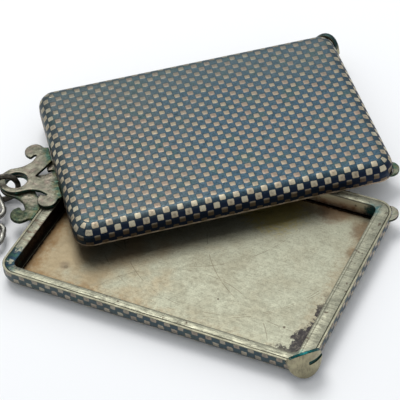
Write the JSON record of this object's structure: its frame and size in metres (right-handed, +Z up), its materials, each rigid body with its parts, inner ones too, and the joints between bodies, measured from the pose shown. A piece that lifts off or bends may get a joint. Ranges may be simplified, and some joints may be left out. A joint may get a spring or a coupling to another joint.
{
  "type": "needle case",
  "caption": "Flat metal needle case in two cushion-edged halves that swivel apart on a ring through pierced scroll bails, with corner catches and a short chain.",
  "frame": {"origin": "centre of the flat face that the tray stands on", "axes": "+X from the bails to the catches, +Z up out of the tray's mouth"},
  "size_m": [0.0655, 0.0713, 0.0068],
  "materials": {
    "niello": "silver and blue-black niello checks, worn satin",
    "rim_silver": "scratched tarnished silver",
    "gilt_pan": "pale champagne silver, fine scratches",
    "bail_silver": "cast silver with verdigris in the corners",
    "chain_silver": "bright worn wire, dark in the hollows"
  },
  "bodies": {
    "tray": {"tray_cover": "niello", "tray_rim_frame": "rim_silver", "tray_floor_pan": "gilt_pan", "tray_bail": "bail_silver", "tray_clasp_plate": "rim_silver", "tray_tongue": "bail_silver"},
    "lid": {"lid_cover": "niello", "lid_rim_frame": "rim_silver", "lid_floor_pan": "gilt_pan", "lid_bail": "bail_silver", "lid_clasp_plate": "rim_silver", "lid_tongue": "bail_silver"},
    "ring": {"jump_ring": "chain_silver"},
    "connector": {"connector_link": "chain_silver"},
    "link_1": {"chain_link_1": "chain_silver"},
    "link_2": {"chain_link_2": "chain_silver"},
    "link_3": {"chain_link_3": "chain_silver"},
    "link_4": {"chain_link_4": "chain_silver"},
    "link_5": {"chain_link_5": "chain_silver"},
    "end": {"end_ring": "chain_silver"}
  },
  "joints": [
    {"name": "lid_swing", "type": "hinge", "parent": "tray", "child": "lid", "pos_m": [-0.03125, 0, 0.0033], "axis": [0, 0, 1], "range_deg": [-39.3, 50]},
    {"name": "ring_swing", "type": "hinge", "parent": "tray", "child": "ring", "pos_m": [-0.03125, 0, 0.0033], "axis": [0, 0, 1], "range_deg": [-35, 3]},
    {"name": "connector_swing", "type": "hinge", "parent": "ring", "child": "connector", "pos_m": [-0.03481, -0.00299, 0.00295], "axis": [0, 0, 1], "range_deg": [-35, 3]},
    {"name": "link_1_swing", "type": "hinge", "parent": "connector", "child": "link_1", "pos_m": [-0.03216, -0.00537, 0.0017], "axis": [0, 0, 1], "range_deg": [-25, 3]},
    {"name": "link_2_swing", "type": "hinge", "parent": "link_1", "child": "link_2", "pos_m": [-0.03011, -0.00892, 0.0017], "axis": [0, 0, 1], "range_deg": [-25, 3]},
    {"name": "link_3_swing", "type": "hinge", "parent": "link_2", "child": "link_3", "pos_m": [-0.02943, -0.0108, 0.0017], "axis": [0, 0, 1], "range_deg": [-20, 3]},
    {"name": "link_4_swing", "type": "hinge", "parent": "link_3", "child": "link_4", "pos_m": [-0.02986, -0.01488, 0.0017], "axis": [0, 0, 1], "range_deg": [-20, 6]},
    {"name": "link_5_swing", "type": "hinge", "parent": "link_4", "child": "link_5", "pos_m": [-0.03092, -0.01658, 0.0017], "axis": [0, 0, 1], "range_deg": [-20, 20]},
    {"name": "end_ring_swing", "type": "hinge", "parent": "link_5", "child": "end", "pos_m": [-0.03432, -0.01887, 0.0017], "axis": [0, 0, 1], "range_deg": [-25, 25]}
  ]
}
